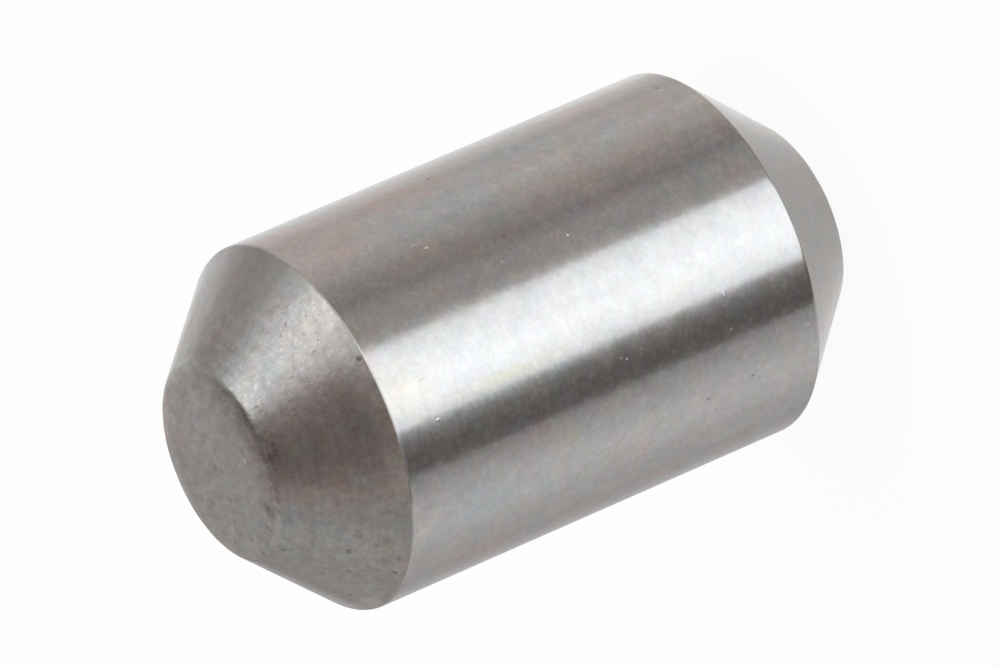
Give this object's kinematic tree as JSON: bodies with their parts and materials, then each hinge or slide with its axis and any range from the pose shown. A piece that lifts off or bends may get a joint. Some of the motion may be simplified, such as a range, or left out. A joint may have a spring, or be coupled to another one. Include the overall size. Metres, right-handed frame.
{
  "type": "dowel pin",
  "caption": "Solid steel dowel pin: a straight ground barrel with a long tapered nose and a small flat end face at either end, for lining up two parts in reamed holes.",
  "frame": {"origin": "centre of the end face that the pin stands on", "axes": "+Z along the pin's axis, up through both end faces"},
  "size_m": [0.01, 0.01, 0.018],
  "materials": {
    "pin_steel": "ground on the barrel, turned on the noses and end faces, with a faint warm and bluish stain"
  },
  "bodies": {
    "root": {"pin": "pin_steel"}
  },
  "joints": []
}
